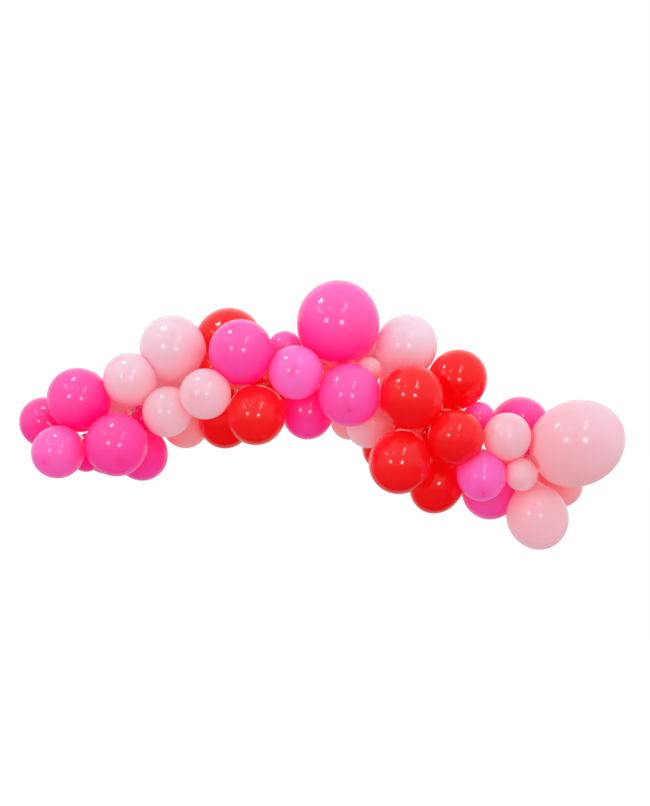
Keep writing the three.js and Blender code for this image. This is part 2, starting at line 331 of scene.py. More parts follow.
@dataclass(frozen=True)
class LatexFinish:
    """Stretched latex: see-through at its thinnest, deeper where it is thick.

    Attributes:
        slot: The record's material slot.
        skin: The colour of the stretched skin at shade 0: its deepest tone, also its painted shade on the
            bottom and between neighbours.
        light: The colour of a lighter balloon of the same kind, also its painted lit colour on the top and
            toward the crown.
        thick: The colour of crown spot, neck and knot.
        roughness: Smoothest and roughest value of the skin.
        coat: How much clear gloss lies on it.
        coat_roughness: How blurred that gloss is.
        glow: How much light passes into the skin.
        glow_reach: How far red, green and blue light travel, as shares of glow_depth.
        painted_top_light: How much lighter its top is: painted light from above.
        painted_crease_shade: How much deeper its colour is where neighbours close it in: painted shade.
        wall_shade: How much darker it is on the side of the wall.
        glow_depth: How far light travels in the skin, in metres.
        shine: Strength of the skin's own gloss under the clear one.
        painted_glow: How strongly it shows, as emission, a painted glow that stands for the light its
            neighbours' skins pass on.
    """

    slot: str
    skin: tuple[float, float, float]
    light: tuple[float, float, float]
    thick: tuple[float, float, float]
    roughness: tuple[float, float]
    coat: float
    coat_roughness: float
    glow: float
    glow_reach: tuple[float, float, float]
    painted_top_light: float
    painted_crease_shade: float
    wall_shade: float
    glow_depth: float = 0.30
    shine: float = 0.25
    painted_glow: float = 0.45

    # Clouds to a metre of the colour's mottling, the gloss's smears and the skin's ripple
    MOTTLES = 14.0
    SMEARS = 35.0
    RIPPLES = 90.0

    # How much of the thick colour the deepest mottles take on, and how strong the ripple is
    MOTTLING = 0.06
    RIPPLING = 0.02
    RIPPLE_HEIGHT = 0.4 * MM
    REFRACTION = 1.5

    def tint(self, shade: Array | float) -> Array:
        """Gives the skin's red, green and blue at one or many shades from 0 to 1."""
        share = np.asarray(shade)[..., None]
        return np.array(self.skin) * (1.0 - share) + np.array(self.light) * share

    def material(self) -> Material:
        """Builds the finish as a node material.

        Returns:
            The material.
        """
        board = Board(self.slot)
        # Mixed from the deep colour to the light one by the shade attribute, which holds the balloon's tone
        # with painted light on its top and crown and painted shade between neighbours.
        skin = board.blend(board.attribute("shade"), self.skin, self.light)
        mottles = board.ranged(board.noise(self.MOTTLES, detail=3.0), 0.0, self.MOTTLING)
        mottled = board.blend(mottles, skin, self.thick)
        dressed = board.blend(board.attribute("thickness"), mottled, self.thick)
        board.bump(board.noise(self.RIPPLES, detail=1.0), self.RIPPLING, self.RIPPLE_HEIGHT)
        # The emission is a painted glow, though no lamp is there, standing for light its neighbours' skins
        # pass on.
        board.dress(
            Base_Color=board.blend(board.attribute("shadow"), dressed, BLACK),
            Roughness=board.ranged(board.noise(self.SMEARS), *self.roughness),
            Emission_Color=board.attribute("painted_passed_light", "Color"), Emission_Strength=self.painted_glow,
            Coat_Weight=self.coat, Coat_Roughness=self.coat_roughness, Coat_IOR=self.REFRACTION,
            IOR=self.REFRACTION, Specular_IOR_Level=self.shine,
            Subsurface_Weight=self.glow, Subsurface_Scale=self.glow_depth,
            Subsurface_Radius=self.glow_reach,
        )
        return board.material


@dataclass(frozen=True)
class ClearPlasticFinish:
    """Clear flexible plastic with faint rolling lines and rubbed patches.

    Attributes:
        slot: The record's material slot.
        tint: Its colour.
        clearness: How much light passes through.
        rubbed_tint: The colour of its rubbed patches.
        rubbing: How much of that colour they take on.
        roughness, coat, coat_roughness: As in LatexFinish.
    """

    slot: str
    tint: tuple[float, float, float]
    clearness: float
    rubbed_tint: tuple[float, float, float] = (0.78, 0.80, 0.82)
    rubbing: float = 0.35
    roughness: tuple[float, float] = (0.08, 0.24)
    coat: float = 0.3
    coat_roughness: float = 0.1

    # Clouds to a metre of the rubbed patches, the smears and the rolling lines
    PATCHES = 60.0
    SMEARS = 90.0
    LINES = 700.0

    LINE_STRENGTH = 0.12
    LINE_HEIGHT = 0.3 * MM
    REFRACTION = 1.46

    def material(self) -> Material:
        """Builds the finish as a node material.

        Returns:
            The material.
        """
        board = Board(self.slot)
        rubbed = board.ranged(board.noise(self.PATCHES, detail=3.0), 0.0, self.rubbing)
        board.bump(board.noise(self.LINES, detail=1.0), self.LINE_STRENGTH, self.LINE_HEIGHT)
        board.dress(
            Base_Color=board.blend(rubbed, self.tint, self.rubbed_tint),
            Roughness=board.ranged(board.noise(self.SMEARS), *self.roughness),
            Transmission_Weight=self.clearness, IOR=self.REFRACTION,
            Coat_Weight=self.coat, Coat_Roughness=self.coat_roughness,
        )
        return board.material


FINISHES = {
    HOT: LatexFinish(
        slot="hot_pink_latex", skin=(0.87, 0.006, 0.25), light=(0.85, 0.19, 0.58),
        thick=(0.82, 0.002, 0.14), roughness=(0.15, 0.20), coat=0.35, coat_roughness=0.14,
        glow=0.85, glow_reach=(1.0, 0.10, 0.22),
        painted_top_light=0.17, painted_crease_shade=0.55, wall_shade=0.15,
    ),
    PALE: LatexFinish(
        slot="pale_pink_latex", skin=(0.84, 0.20, 0.19), light=(0.70, 0.65, 0.75),
        thick=(0.84, 0.27, 0.33), roughness=(0.17, 0.22), coat=0.28, coat_roughness=0.17,
        glow=0.85, glow_reach=(1.0, 0.20, 0.28),
        painted_top_light=0.10, painted_crease_shade=0.08, wall_shade=0.05,
    ),
    RED: LatexFinish(
        slot="red_latex", skin=(0.77, 0.001, 0.004), light=(0.84, 0.024, 0.028),
        thick=(0.74, 0.001, 0.004), roughness=(0.12, 0.16), coat=0.42, coat_roughness=0.12,
        glow=0.75, glow_reach=(1.0, 0.04, 0.06),
        painted_top_light=0.26, painted_crease_shade=0.55, wall_shade=0.13,
    ),
}

STRIP_FINISH = ClearPlasticFinish(slot="clear_strip", tint=(0.93, 0.95, 0.96), clearness=0.9)


@dataclass
class Spine:
    """The strip's route, as a finely stepped line in the plane of x and z.

    Attributes:
        bends: The route's points, in metres.
        steps_per_span: How many steps lie between two bends.
        points: The steps' x and z.
        arc: How far along the route each step is.
    """

    bends: Array
    steps_per_span: int = 16
    points: Array = field(init=False)
    arc: Array = field(init=False)

    def __post_init__(self) -> None:
        """Steps along the smooth curve through the bends."""
        last = len(self.bends) - 1
        place = np.linspace(0.0, last, last * self.steps_per_span + 1)
        span = np.minimum(place.astype(int), last)
        t = (place - span)[:, None]
        around = [self.bends[np.clip(span + step, 0, last)] for step in (-1, 0, 1, 2)]
        before, start, end, after = around
        leave, arrive = (end - before) / 2, (after - start) / 2
        self.points = (
            (2 * start - 2 * end + leave + arrive) * t**3
            + (3 * end - 3 * start - 2 * leave - arrive) * t**2
            + leave * t + start
        )
        steps = np.linalg.norm(np.diff(self.points, axis=0), axis=1)
        self.arc = np.concatenate(([0.0], np.cumsum(steps)))

    def at(self, distance: Array | float) -> Array:
        """Finds points along the route.

        Args:
            distance: How far from the left end.

        Returns:
            The x and z there.
        """
        x = np.interp(distance, self.arc, self.points[:, 0])
        z = np.interp(distance, self.arc, self.points[:, 1])
        return np.stack((x, z), axis=-1)

    def sideways(self, distance: Array, reach: float) -> Array:
        """Finds the direction across the route.

        Args:
            distance: How far from the left end.
            reach: How far before and after the place the direction is taken.

        Returns:
            The x and z of the direction across.
        """
        before = self.at(np.maximum(0.0, distance - reach))
        after = self.at(np.minimum(self.arc[-1], distance + reach))
        along = unit(after - before)
        return np.column_stack((-along[:, 1], along[:, 0]))

    def nearest(self, x: float, z: float) -> float:
        """Gives how far from the left end the route comes nearest to a point."""
        gaps = np.linalg.norm(self.points - np.array((x, z)), axis=1)
        return float(self.arc[int(np.argmin(gaps))])


@dataclass
class Neck:
    """The sizes of a tied neck, its knot and its rolled lip.

    Attributes:
        throat_radius: Where the balloon has narrowed to its neck.
        throat_standoff: From the hole to the throat.
        waist_radius: Where the neck is squeezed by the knot or the hole.
        lip_radius: Of the rolled lip.
        lip_distance: From the waist to the end of the lip.
        loose_length: From the round body to the throat of a loose neck.
        loose_tuck: How far beside the strip a loose neck aims.
    """

    throat_radius: float = 6 * MM
    throat_standoff: float = 14 * MM
    waist_radius: float = 3.2 * MM
    lip_radius: float = 8 * MM
    lip_distance: float = 20 * MM
    loose_length: float = 30 * MM
    loose_tuck: float = 60 * MM

    # Rows along the bend from throat to waist, and the share of the standoff for which the
    # neck keeps its direction at each end of it
    BEND_ROWS = 7
    BEND_REACH = 0.45

    # The creases that the knot pulls: how many, how deep, and how far each row turns them
    CREASES = 3
    CREASE_DEPTH = 0.05
    CREASE_TURN = 0.9

    # From the waist to the bottom of the open end
    OPEN_END = 12.8 * MM

    # Distance from the waist and radius, in millimetres, along the knot, the tail and the
    # rolled lip, and back into the open end
    TAIL = (
        (1.5, 3.4), (2.8, 4.6), (4.0, 5.9), (5.4, 6.5), (7.0, 6.6), (8.6, 6.3), (9.8, 5.3),
        (10.8, 4.3), (12.4, 4.2), (14.4, 4.9), (16.4, 5.8), (17.8, 6.5), (18.4, 7.3),
        (19.0, 7.85), (19.5, 8.0), (19.9, 7.6), (20.0, 6.9), (19.6, 6.3), (18.0, 5.2),
        (15.6, 3.8), (13.6, 2.0),
    )


@dataclass
class Balloon:
    """One latex balloon: body, taper, neck, knot and rolled lip in one skin.

    Attributes:
        name: The node that it stands for.
        colour: Its latex colour.
        radius: Half its width.
        centre: The middle of its body.
        shade: How much lighter than usual, 0 to 1: partly its own tone, partly painted light and shade for
            where it hangs.
        hold: How it is held.
        stretch: How much longer than wide it is.
        neck: The sizes of its neck and knot.
        shoulder: Where the round body ends, as an angle from the throat.
        pull: How far the taper keeps its slope at each end, as a share of its run.
        touch_gap: Room between two skins that touch.
        strip_room: From the strip's middle to the skin.
        neighbour_reach: How near a neighbour has to be to press on it, as a share of touching.
        roundness: How tightly the skin turns at the edge of a pressed flat.
        columns: How many columns of faces go round it.
        crown_height: How far the thick crown stands out.
        crown_width: How far from the axis the crown fades.
        crown_tone_and_painted_light: How much lighter it is toward the crown: partly its thinner latex,
            partly painted light.
        whitened: How much white is in the painted glow that stands for the light a neighbour's skin lets
            through.
        wall_depth: How far behind the strip the shade of the wall is full.
    """

    name: str
    colour: Colour
    radius: float
    centre: Array
    shade: float
    hold: Hold = TIED
    stretch: float = 1.05
    neck: Neck = field(default_factory=Neck)
    shoulder: float = math.radians(40)
    pull: float = 0.42
    touch_gap: float = 0.4 * MM
    strip_room: float = 29 * MM
    neighbour_reach: float = 1.05
    roundness: float = 110.0
    columns: int = 80
    crown_height: float = 0.9 * MM
    crown_width: float = 9.0 * MM
    crown_tone_and_painted_light: float = 0.12
    whitened: float = 0.25
    wall_depth: float = 120 * MM

    # Where along the taper its pressing places lie
    TAPER_SHARES = (0.6, 0.75, 0.9, 1.0)

    # Degrees from the crown: the rows close to it, and the first of the even ones
    CROWN_TURNS = (0.8, 1.7, 2.8, 4.2, 6.0, 8.2)
    FIRST_EVEN_TURN = 11.0
    EVEN_ROWS = 46
    TAPER_ROWS = 16

    # The crown's deeper spot and the halo round it: width as a share of the crown's, and depth
    SPOTS = ((1.3, 0.50), (3.0, 0.28))

    # Shares of the taper where its colour starts to deepen, and where the strip's flat ends
    DEEPENING = 0.15
    GRIP_END = 0.5

    @property
    def side(self) -> float:
        """Which side of the strip it lies on: 1 behind it, -1 in front."""
        return 1.0 if self.centre[1] > 0 else -1.0

    def settle(self, foot: Array, hole: Array | None, balloons: list["Balloon"]) -> None:
        """Lays out the neck, square through its hole or straight beside the strip.

        Args:
            foot: The strip's nearest point.
            hole: The middle of the hole it is tied through, or None.
            balloons: Every balloon of the garland.
        """
        self.foot = foot
        self.neighbours = [other for other in balloons if other is not self]
        away = np.array((0.0, self.side, 0.0))
        if hole is not None:
            throat = hole + away * self.neck.throat_standoff
            self.axis = unit(throat - self.centre)
            self.throat_distance = float(np.linalg.norm(throat - self.centre))
            self.tail, self.waist = -away, hole
        else:
            self.axis = unit(foot + away * self.neck.loose_tuck - self.centre)
            self.throat_distance = self.radius * self.stretch + self.neck.loose_length
            self.tail = self.axis
            throat = self.centre + self.axis * self.throat_distance
            self.waist = throat + self.axis * self.neck.throat_standoff
        self.throat = self.centre + self.axis * self.throat_distance
        steep = abs(self.axis[2]) >= STEEP
        reference = np.array((1.0, 0.0, 0.0) if steep else (0.0, 0.0, 1.0))
        self.across = unit(reference - self.axis * float(reference @ self.axis))

    def taper(self, share: Array) -> Array:
        """Follows the taper from the round body to the throat.

        Args:
            share: How far along, 0 to 1.

        Returns:
            Distance along the axis and radius, for each share.
        """
        start = self.radius * np.array((self.stretch * math.cos(self.shoulder), math.sin(self.shoulder)))
        end = np.array((self.throat_distance, self.neck.throat_radius))
        slope = unit(np.array((self.stretch * math.sin(self.shoulder), -math.cos(self.shoulder))))
        run = (end[0] - start[0]) * self.pull
        return cubic((start, start + slope * run, end - np.array((run, 0.0)), end), share)[0]

    def pressing_points(self) -> list[tuple[Array, float]]:
        """Lists the places on its taper and knot that dent its neighbours.

        Returns:
            Each place with its radius.
        """
        points = [
            (self.centre + self.axis * along, radius)
            for along, radius in self.taper(np.array(self.TAPER_SHARES))
        ]
        points.append((self.waist + self.tail * self.neck.lip_distance, self.neck.lip_radius))
        return points

    def flats(self) -> tuple[Array, Array]:
        """Finds the flats that its neighbours press into it.

        Returns:
            The flats' directions from the centre and their distances.
        """
        normals, distances = [], []
        for other in self.neighbours:
            apart = other.centre - self.centre
            distance = float(np.linalg.norm(apart))
            reach = self.radius * self.stretch + other.radius * other.stretch
            if distance < reach * self.neighbour_reach:
                share = (distance**2 + self.radius**2 - other.radius**2) / (2 * distance)
                normals.append(apart / distance)
                distances.append(share - self.touch_gap / 2)
            for point, radius in other.pressing_points():
                arm = point - self.centre
                length = float(np.linalg.norm(arm))
                normals.append(arm / length)
                distances.append(length - radius - self.touch_gap)
        return np.array(normals), np.array(distances)

    def press(self, points: Array, normals: Array, distances: Array) -> Array:
        """Adds up how hard flats press on points: 1 where a point lies just on one."""
        heights = (points - self.centre) @ normals.T / distances
        return (np.maximum(heights, 0.0) ** self.roundness).sum(axis=1)

    def skin_rows(self) -> tuple[Array, Array, Array, Array]:
        """Lays out the body and the taper as rows from the crown to the throat.

        Returns:
            Distance along the axis, radius, thickness and hold of the strip's flat, for each row.
        """
        last = 180.0 - math.degrees(self.shoulder)
        turn = np.append(self.CROWN_TURNS, np.linspace(self.FIRST_EVEN_TURN, last, self.EVEN_ROWS))
        angle = np.radians(turn)
        reach = angle * self.radius / self.crown_width
        crown = self.crown_height * np.exp(-(reach**2))
        along = -(self.radius * self.stretch + crown) * np.cos(angle)
        radius = self.radius * np.sin(angle)
        spot = np.max([depth * np.exp(-((reach / width) ** 2)) for width, depth in self.SPOTS], axis=0)
        share = np.linspace(0.0, 1.0, self.TAPER_ROWS + 1)[1:]
        taper = self.taper(share)
        thickness = np.append(spot, smooth_step(share, self.DEEPENING, 1.0))
        grip = np.append(np.ones(len(angle)), 1.0 - smooth_step(share, 0.0, self.GRIP_END))
        return np.append(along, taper[:, 0]), np.append(radius, taper[:, 1]), thickness, grip

    def neck_points(self) -> Array:
        """Lays out the neck's bend, the knot, the tail and the lip.

        Returns:
            The points, row by row.
        """
        neck = self.neck
        bend = np.linspace(0.0, 1.0, neck.BEND_ROWS + 1)[1:]
        reach = neck.throat_standoff * neck.BEND_REACH
        places, slopes = cubic(
            (self.throat, self.throat + self.axis * reach, self.waist - self.tail * reach, self.waist), bend)
        radii = neck.throat_radius + (neck.waist_radius - neck.throat_radius) * smooth_step(bend, 0.0, 1.0)
        for distance, radius in neck.TAIL:
            places = np.vstack((places, self.waist + self.tail * distance * MM))
            slopes = np.vstack((slopes, self.tail))
            radii = np.append(radii, radius * MM)
        turn = np.linspace(0.0, 2 * math.pi, self.columns, endpoint=False)
        rows, across = [], self.across
        for row, (place, slope, radius) in enumerate(zip(places, unit(slopes), radii)):
            across = unit(across - slope * float(across @ slope))
            up = np.cross(slope, across)
            crease = neck.CREASE_DEPTH * np.sin(neck.CREASES * turn + neck.CREASE_TURN * row)
            creased = radius * (1.0 + crease)
            side = np.outer(creased * np.cos(turn), across)
            rows.append(place + side + np.outer(creased * np.sin(turn), up))
        return np.vstack(rows)

    def painted_passed_light(self, piece: Object, points: Array) -> tuple[Array, Array]:
        """Adds up a painted glow that stands for the tinted light that the thin skins of its neighbours let
        through to it.

        Args:
            piece: The finished skin.
            points: Its corners.

        Returns:
            Red, green and blue for each corner, and how far neighbours close it in, 0 to 1.
        """
        outward = np.empty(points.size)
        piece.data.vertex_normals.foreach_get("vector", outward)
        outward = outward.reshape(-1, 3)
        light, covered = np.zeros_like(points), np.ones(len(points))
        for other in self.neighbours:
            arm = other.centre - points
            length = np.linalg.norm(arm, axis=1)
            facing = np.maximum((arm * outward).sum(axis=1) / length, 0.0)
            share = facing * np.minimum(other.radius / length, 1.0) ** 2
            tinted = FINISHES[other.colour].tint(other.shade)
            light += share[:, None] * (tinted + (1.0 - tinted) * self.whitened)
            covered += share
        return light / covered[:, None], 1.0 - 1.0 / covered

    def pressed_skin(self) -> tuple[Array, Array]:
        """Lays out the skin from the crown to the throat, with the flats pressed into it.

        Returns:
            The points, row by row after the crown's tip, and how thick the skin is there.
        """
        up = np.cross(self.axis, self.across)
        along, radius, thickness, grip = self.skin_rows()
        turn = np.linspace(0.0, 2 * math.pi, self.columns, endpoint=False)
        ring = np.outer(np.cos(turn), self.across) + np.outer(np.sin(turn), up)
        skin = self.centre + along[:, None, None] * self.axis + radius[:, None, None] * ring
        crown = self.centre - self.axis * (self.radius * self.stretch + self.crown_height)
        points = np.vstack((crown, skin.reshape(-1, 3)))
        arm = self.foot - self.centre
        length = float(np.linalg.norm(arm))
        strip_flat = np.array([arm / length]), np.array([length - self.strip_room])
        grip = np.append(1.0, np.repeat(grip, self.columns))
        load = self.press(points, *self.flats()) + grip * self.press(points, *strip_flat)
        share = (1.0 + load) ** (-1.0 / self.roundness)
        share[-self.columns:] = 1.0
        points = self.centre + (points - self.centre) * share[:, None]
        return points, np.append(1.0, np.repeat(thickness, self.columns))

    def faces(self, rows: int) -> list[tuple[int, ...]]:
        """Joins the rows of points to one closed skin.

        Args:
            rows: How many rows lie between the crown's tip and the last point.

        Returns:
            The corner numbers of each face.
        """
        columns = self.columns
        end = 1 + rows * columns
        last = end - columns
        faces = []
        for k in range(columns):
            after = (k + 1) % columns
            faces.append((0, 1 + after, 1 + k))
            for low in range(1, last, columns):
                faces.append((low + k, low + after, low + columns + after, low + columns + k))
            faces.append((last + k, last + after, end))
        return faces

    def build(self) -> Object:
        """Builds the balloon's skin.

        Returns:
            The balloon as one mesh object.
        """
        skin, thickness = self.pressed_skin()
        neck = self.neck_points()
        points = np.vstack((skin, neck, self.waist + self.tail * self.neck.OPEN_END))
        piece = make_object(f"{self.name}_skin", points, self.faces((len(points) - 2) // self.columns))
        write_attribute(piece, "thickness", np.append(thickness, np.ones(len(neck) + 1)))
        self.colour_in(piece, points)
        return piece

    def colour_in(self, piece: Object, points: Array) -> None:
        """Stores how light the skin is, with painted light and shade, the painted shadow of the wall, and
        the painted glow that stands for light its neighbours pass on to it.

        Args:
            piece: The finished skin.
            points: Its corners.
        """
        finish = FINISHES[self.colour]
        rise = (points[:, 2] - self.centre[2]) / self.radius
        ahead = (points - self.centre) @ -self.axis / self.radius
        passed, closed_in = self.painted_passed_light(piece, points)
        # Painted light and shade: lighter on the top as if lit from above, lighter toward the crown, partly
        # for its thinner latex, and deeper where neighbours close it in.
        lighter = finish.painted_top_light * rise + self.crown_tone_and_painted_light * ahead - finish.painted_crease_shade * closed_in
        shade = np.clip(self.shade + lighter, 0.0, 1.0)
        shadow = finish.wall_shade * np.clip(points[:, 1] / self.wall_depth, 0.0, 1.0)
        write_attribute(piece, "shade", shade)
        write_attribute(piece, "shadow", shadow)
        write_attribute(piece, "painted_passed_light", passed * finish.tint(shade) * (1.0 - shadow[:, None]))


@dataclass
class DecoratingStrip:
    """The clear strip: a ribbon of cells, each with one hole that has a thicker rim.

    Attributes:
        spine: Its route.
        width: Across the ribbon.
        thickness: Through it.
        hole_pitch: From hole to hole.
        hole_radius: Of each hole.
        hang_length: The plain cell in the middle.
        tab_length: The plain cell at each end.
        rim: How much thicker the rim of a hole is, on each side.
        edges: Where the cells meet, along the route.
        holes: Where each hole is along the route, by its cell's number.
    """

    spine: Spine
    width: float = 16 * MM
    thickness: float = 1 * MM
    hole_pitch: float = 42 * MM
    hole_radius: float = 4.4 * MM
    hang_length: float = 40 * MM
    tab_length: float = 36 * MM
    rim: float = 0.35 * MM
    edges: list[float] = field(init=False)
    holes: dict[int, float] = field(init=False)

    # Corners round each ring of a cell, and how far from the middle a plain cell's first one is
    CORNERS = 32
    FIRST_RING = 1 * MM

    # From a hole's edge to itself and to the start, the end and the foot of its rim
    RIM_STEPS = (0.0, 0.25 * MM, 1.1 * MM, 1.4 * MM)

    # The rounded edges: half thickness left at a hole's edge and at the ribbon's, and the
    # share of its width where the rounding starts
    HOLE_EDGE = 0.6
    RIBBON_EDGE = 0.7
    ROUNDING_START = 0.985

    def __post_init__(self) -> None:
        """Lays out the cells outward from the hang point."""
        hang = self.spine.nearest(0.0, 0.0)
        room = self.tab_length + self.hang_length / 2
        left = math.floor((hang - room) / self.hole_pitch)
        right = math.floor((self.spine.arc[-1] - hang - room) / self.hole_pitch)
        first = hang - self.hang_length / 2
        last = hang + self.hang_length / 2
        self.edges = [first - left * self.hole_pitch - self.tab_length]
        self.edges += [first - i * self.hole_pitch for i in range(left, -1, -1)]
        self.edges += [last + i * self.hole_pitch for i in range(right + 1)]
        self.edges.append(self.edges[-1] + self.tab_length)
        self.holes = {
            i: (self.edges[i] + self.edges[i + 1]) / 2
            for i in range(1, len(self.edges) - 2) if i != left + 1
        }

    @property
    def middle_y(self) -> float:
        """The y of the strip's middle."""
        return -self.thickness / 2

    def hole_points(self) -> list[Array]:
        """Lists the middle of every hole, from left to right."""
        places = [self.spine.at(distance) for distance in self.holes.values()]
        return [np.array((x, self.middle_y, z)) for x, z in places]

    def lift(self, along: Array, across: Array, height: Array) -> Array:
        """Bends flat ribbon coordinates on to the route.

        Args:
            along: Distance from the left end.
            across: Distance above the route's line.
            height: How far in front of the strip's middle.

        Returns:
            The points in the garland's frame.
        """
        side = self.spine.sideways(along, self.width / 2)
        place = self.spine.at(along) + side * across[:, None]
        return np.column_stack((place[:, 0], self.middle_y - height, place[:, 1]))

    def cell(self, start: float, end: float, holed: bool) -> tuple[Array, list[tuple[int, ...]]]:
        """Builds one cell of the ribbon.

        Args:
            start, end: Its ends along the route.
            holed: Whether it has a hole in its middle.

        Returns:
            Its points and faces.
        """
        corners = self.CORNERS
        half = self.thickness / 2
        turn = np.linspace(0.0, 2 * math.pi, corners, endpoint=False)
        circle = np.stack((np.cos(turn), np.sin(turn)), axis=1)
        reach = np.array(((end - start) / 2, self.width / 2))
        square = circle / np.abs(circle / reach).max(axis=1, keepdims=True)
        rings, heights = [circle * self.FIRST_RING], [half]
        if holed:
            rings = [circle * (self.hole_radius + step) for step in self.RIM_STEPS]
            heights = [half * self.HOLE_EDGE, half + self.rim, half + self.rim, half]
        rings += [(rings[-1] + square) / 2, square * self.ROUNDING_START, square]
        heights += [half, half, half * self.RIBBON_EDGE]
        flat = np.vstack(rings)
        height = np.repeat(heights, corners)
        along = (start + end) / 2 + flat[:, 0]
        points = np.vstack([self.lift(along, flat[:, 1], side * height) for side in (1, -1)])
        count, last, faces = len(flat), len(flat) - corners, []
        for low in range(0, last, corners):
            for k in range(corners):
                a, b = low + k, low + (k + 1) % corners
                c, d = b + corners, a + corners
                faces += [(a, d, c, b), (count + a, count + b, count + c, count + d)]
        for k in range(corners):
            b = (k + 1) % corners
            faces.append((last + k, count + last + k, count + last + b, last + b))
            if holed:
                faces.append((k, b, count + b, count + k))
        if not holed:
            faces.append(tuple(range(corners)))
            faces.append(tuple(count + k for k in reversed(range(corners))))
        return points, faces

    def build(self) -> Object:
        """Builds the whole strip.

        Returns:
            The strip as one mesh object.
        """
        points: list[Array] = []
        faces: list[tuple[int, ...]] = []
        count = 0
        for i in range(len(self.edges) - 1):
            cell_points, cell_faces = self.cell(self.edges[i], self.edges[i + 1], i in self.holes)
            faces += [tuple(count + corner for corner in face) for face in cell_faces]
            points.append(cell_points)
            count += len(cell_points)
        return make_object("clear_decorating_strip", np.vstack(points), faces)


@dataclass
class Garland:
    """The whole garland: the clear strip, and the balloons from left to right."""

    strip: DecoratingStrip
    balloons: list[Balloon]

    @classmethod
    def from_table(cls) -> "Garland":
        """Reads the table of balloons and numbers each colour from left to right.

        Returns:
            The garland, not yet laid out.
        """
        counts = dict.fromkeys(Colour, 0)
        balloons = []
        for colour, width, centre, *rest in BALLOONS:
            counts[colour] += 1
            name = f"{colour.value}_balloon_{counts[colour]:02d}"
            balloons.append(Balloon(name, colour, width / 2 * MM, np.array(centre) * MM, *rest))
        return cls(DecoratingStrip(Spine(np.array(SPINE_POINTS) * MM)), balloons)

    def choose_holes(self) -> dict[str, Array]:
        """Gives the tied balloons the holes in their order along the strip.

        Returns:
            The middle of each tied balloon's hole, by the balloon's name.
        """
        spine = self.strip.spine
        feet = {b.name: spine.nearest(b.centre[0], b.centre[2]) for b in self.balloons}
        tied = sorted((b for b in self.balloons if b.hold is TIED), key=lambda b: feet[b.name])
        distances = np.array(list(self.strip.holes.values()))
        chosen: list[int] = []
        for balloon in tied:
            best = int(np.argmin(np.abs(distances - feet[balloon.name])))
            chosen.append(max(best, chosen[-1] + 1 if chosen else 0))
        limit = len(distances) - 1
        for i in range(len(tied) - 1, -1, -1):
            chosen[i] = min(chosen[i], limit)
            limit = chosen[i] - 1
        points = self.strip.hole_points()
        return {balloon.name: points[i] for balloon, i in zip(tied, chosen)}

    def build(self) -> None:
        """Builds every piece, dresses it and sets it on the frame."""
        holes = self.choose_holes()
        spine = self.strip.spine
        for balloon in self.balloons:
            x, z = spine.at(spine.nearest(balloon.centre[0], balloon.centre[2]))
            foot = np.array((x, self.strip.middle_y, z))
            balloon.settle(foot, holes.get(balloon.name), self.balloons)
        materials = {colour: finish.material() for colour, finish in FINISHES.items()}
        for balloon in self.balloons:
            slot = FINISHES[balloon.colour].slot
            self.place(balloon.build(), materials[balloon.colour], slot, balloon.name)
        strip = self.strip.build()
        self.place(strip, STRIP_FINISH.material(), STRIP_FINISH.slot, "decorating_strip")

    @staticmethod
    def place(piece: Object, material: Material, slot: str, node: str) -> None:
        """Dresses a piece and lets it stand for its node.

        Args:
            piece: The finished mesh object.
            material: Its finish.
            slot: The record's material slot; not used.
            node: The node that it stands for.
        """
        piece.data.materials.append(material)
        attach(piece, BODY)
        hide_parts(node)
        LOG.info("%s: %d faces", piece.name, len(piece.data.polygons))


@dataclass(frozen=True)
class Lamp:
    """One soft lamp, which hangs at its place and points at its target.

    Attributes:
        size: Its width and length.
        brightness: Of its face, where a sheet of white paper in the room is 1.
    """

    name: str
    place: tuple[float, float, float]
    target: tuple[float, float, float]
    size: tuple[float, float]
    brightness: float

    def build(self) -> None:
        """Hangs the lamp, which shows only as a gloss on what it shines on."""
        light = bpy.data.lights.new(self.name, "AREA")
        light.shape = "RECTANGLE"
        light.size, light.size_y = self.size
        light.energy = self.brightness * math.pi * self.size[0] * self.size[1]
        lamp = bpy.data.objects.new(self.name, light)
        bpy.context.scene.collection.objects.link(lamp)
        place = np.array(self.place)
        back = unit(place - np.array(self.target))
        along = np.array((0.0, 0.0, 1.0) if abs(back[1]) >= STEEP else (0.0, 1.0, 0.0))
        side = unit(np.cross(along, back))
        up = np.cross(back, side)
        matrix = np.eye(4)
        matrix[:3, 0], matrix[:3, 1], matrix[:3, 2], matrix[:3, 3] = side, up, back, place
        lamp.matrix_world = Matrix(matrix.tolist())
        lamp.visible_camera = False
        lamp.visible_diffuse = False


